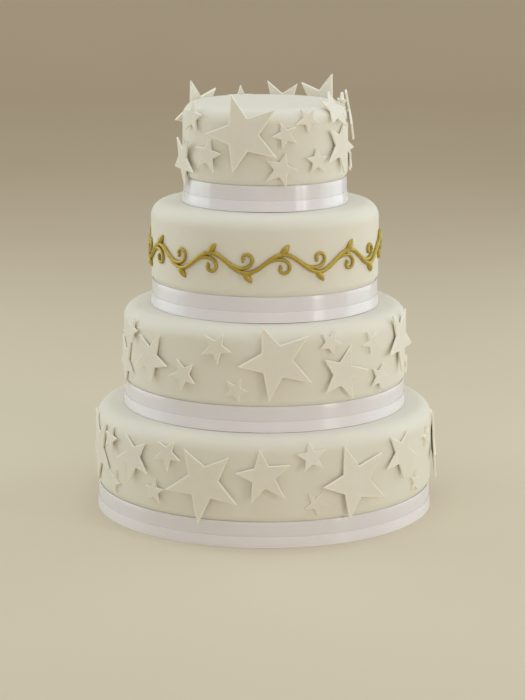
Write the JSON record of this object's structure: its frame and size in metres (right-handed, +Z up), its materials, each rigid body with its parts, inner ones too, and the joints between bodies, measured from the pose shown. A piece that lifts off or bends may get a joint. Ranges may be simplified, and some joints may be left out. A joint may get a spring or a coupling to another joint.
{
  "type": "tiered wedding cake",
  "caption": "Tiered round wedding cake in ivory fondant with satin ribbons at the foot of each tier, scattered fondant stars and a piped gold vine.",
  "frame": {"origin": "middle of the cake's base, on the surface that it stands on", "axes": "+Z up through the tiers, -Y towards the viewer in front, +X to the viewer's right"},
  "size_m": [0.3136, 0.3126, 0.3826],
  "materials": {
    "fondant": "matt sugar paste icing",
    "star_paste": "matt dried sugar paste",
    "satin": "glossy satin ribbon",
    "gold": "gold lustre paint on piped icing"
  },
  "bodies": {
    "root": {"gold_vine": "gold", "ribbon_bottom": "satin", "ribbon_second": "satin", "ribbon_third": "satin", "ribbon_top": "satin", "star_bottom_large_1": "star_paste", "star_bottom_large_2": "star_paste", "star_bottom_large_3": "star_paste", "star_bottom_large_4": "star_paste", "star_bottom_large_5": "star_paste", "star_bottom_large_6": "star_paste", "star_bottom_medium_1": "star_paste", "star_bottom_medium_2": "star_paste", "star_bottom_medium_3": "star_paste", "star_bottom_medium_4": "star_paste", "star_bottom_medium_5": "star_paste", "star_bottom_medium_6": "star_paste", "star_bottom_medium_7": "star_paste", "star_bottom_medium_8": "star_paste", "star_bottom_small_1": "star_paste", "star_bottom_small_2": "star_paste", "star_bottom_small_3": "star_paste", "star_bottom_small_4": "star_paste", "star_second_large_1": "star_paste", "star_second_large_2": "star_paste", "star_second_large_3": "star_paste", "star_second_medium_1": "star_paste", "star_second_medium_2": "star_paste", "star_second_medium_3": "star_paste", "star_second_medium_4": "star_paste", "star_second_medium_5": "star_paste", "star_second_medium_6": "star_paste", "star_second_medium_7": "star_paste", "star_second_small_1": "star_paste", "star_second_small_2": "star_paste", "star_second_small_3": "star_paste", "star_second_small_4": "star_paste", "star_second_small_5": "star_paste", "star_top_large_1": "star_paste", "star_top_large_2": "star_paste", "star_top_large_3": "star_paste", "star_top_medium_1": "star_paste", "star_top_medium_2": "star_paste", "star_top_medium_3": "star_paste", "star_top_medium_4": "star_paste", "star_top_medium_5": "star_paste", "star_top_medium_6": "star_paste", "star_top_small_1": "star_paste", "star_top_small_2": "star_paste", "star_top_small_3": "star_paste", "star_top_small_4": "star_paste", "star_top_small_5": "star_paste", "star_top_small_6": "star_paste", "star_top_small_7": "star_paste", "star_top_small_8": "star_paste", "tier_bottom": "fondant", "tier_second": "fondant", "tier_third": "fondant", "tier_top": "fondant"}
  },
  "joints": []
}
